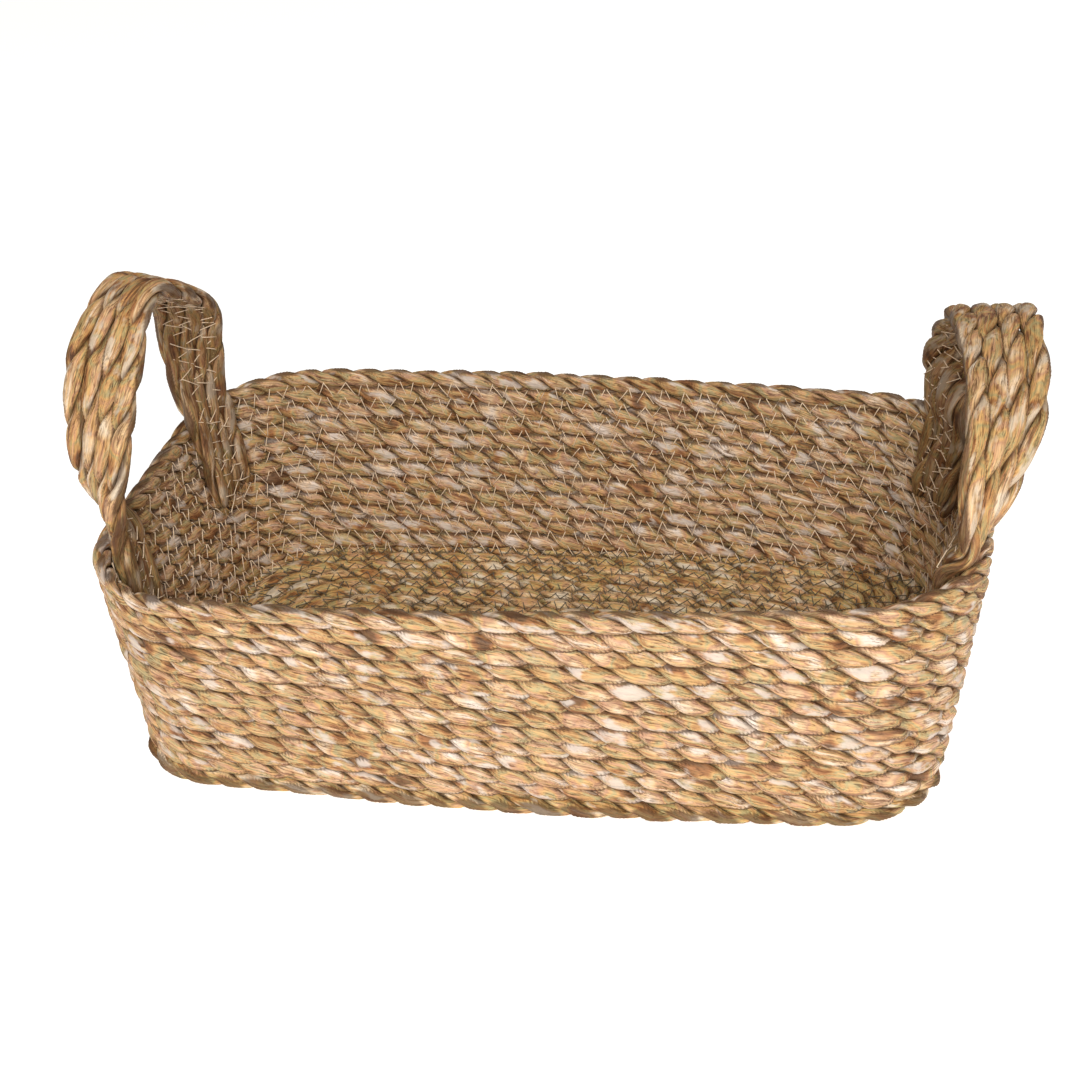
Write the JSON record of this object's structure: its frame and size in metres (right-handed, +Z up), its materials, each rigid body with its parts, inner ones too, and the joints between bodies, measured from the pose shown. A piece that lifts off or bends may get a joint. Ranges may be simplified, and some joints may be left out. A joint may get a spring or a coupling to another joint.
{
  "type": "bread basket",
  "caption": "Low rectangular coiled seagrass rope basket with flared sewn walls and two rope strap handles, for serving bread.",
  "frame": {"origin": "middle of the underside of the base, on the surface that the basket stands on", "axes": "+X along the basket towards the right-hand handle, +Y across it towards the back, +Z up"},
  "size_m": [0.3547, 0.1988, 0.1742],
  "materials": {
    "base_rope": "matte",
    "wall_rope": "matte",
    "handle_rope": "matte",
    "thread": "matte"
  },
  "bodies": {
    "basket": {"base_core": "base_rope", "base_course_01": "base_rope", "base_course_02": "base_rope", "base_course_03": "base_rope", "base_course_04": "base_rope", "base_course_05": "base_rope", "base_course_06": "base_rope", "base_course_07": "base_rope", "base_course_08": "base_rope", "base_course_09": "base_rope", "base_course_10": "base_rope", "base_course_11": "base_rope", "base_course_12": "base_rope", "wall_course_01": "wall_rope", "wall_course_02": "wall_rope", "wall_course_03": "wall_rope", "wall_course_04": "wall_rope", "wall_course_05": "wall_rope", "wall_course_06": "wall_rope", "wall_course_07": "wall_rope", "wall_course_08": "wall_rope", "wall_course_09": "wall_rope", "wall_course_10": "wall_rope", "wall_course_11": "wall_rope", "rim_course": "wall_rope", "left_front_foot": "handle_rope", "left_back_foot": "handle_rope", "right_front_foot": "handle_rope", "right_back_foot": "handle_rope", "base_stitching": "thread", "wall_stitching": "thread"},
    "left_handle": {"left_handle_rope_01": "handle_rope", "left_handle_rope_02": "handle_rope", "left_handle_rope_03": "handle_rope", "left_handle_rope_04": "handle_rope", "left_handle_stitching": "thread"},
    "right_handle": {"right_handle_rope_01": "handle_rope", "right_handle_rope_02": "handle_rope", "right_handle_rope_03": "handle_rope", "right_handle_rope_04": "handle_rope", "right_handle_stitching": "thread"}
  },
  "joints": [
    {"name": "left_handle_flex", "type": "hinge", "parent": "basket", "child": "left_handle", "pos_m": [-0.15435, -0.00147, 0.09063], "axis": [0.0059, -0.9987, -0.0498], "range_deg": [-20, 20], "stiffness_Nm_per_rad": 0.5},
    {"name": "right_handle_flex", "type": "hinge", "parent": "basket", "child": "right_handle", "pos_m": [0.15581, 0.0055, 0.09047], "axis": [-0.0415, 0.9979, -0.0489], "range_deg": [-20, 12], "stiffness_Nm_per_rad": 0.5}
  ]
}
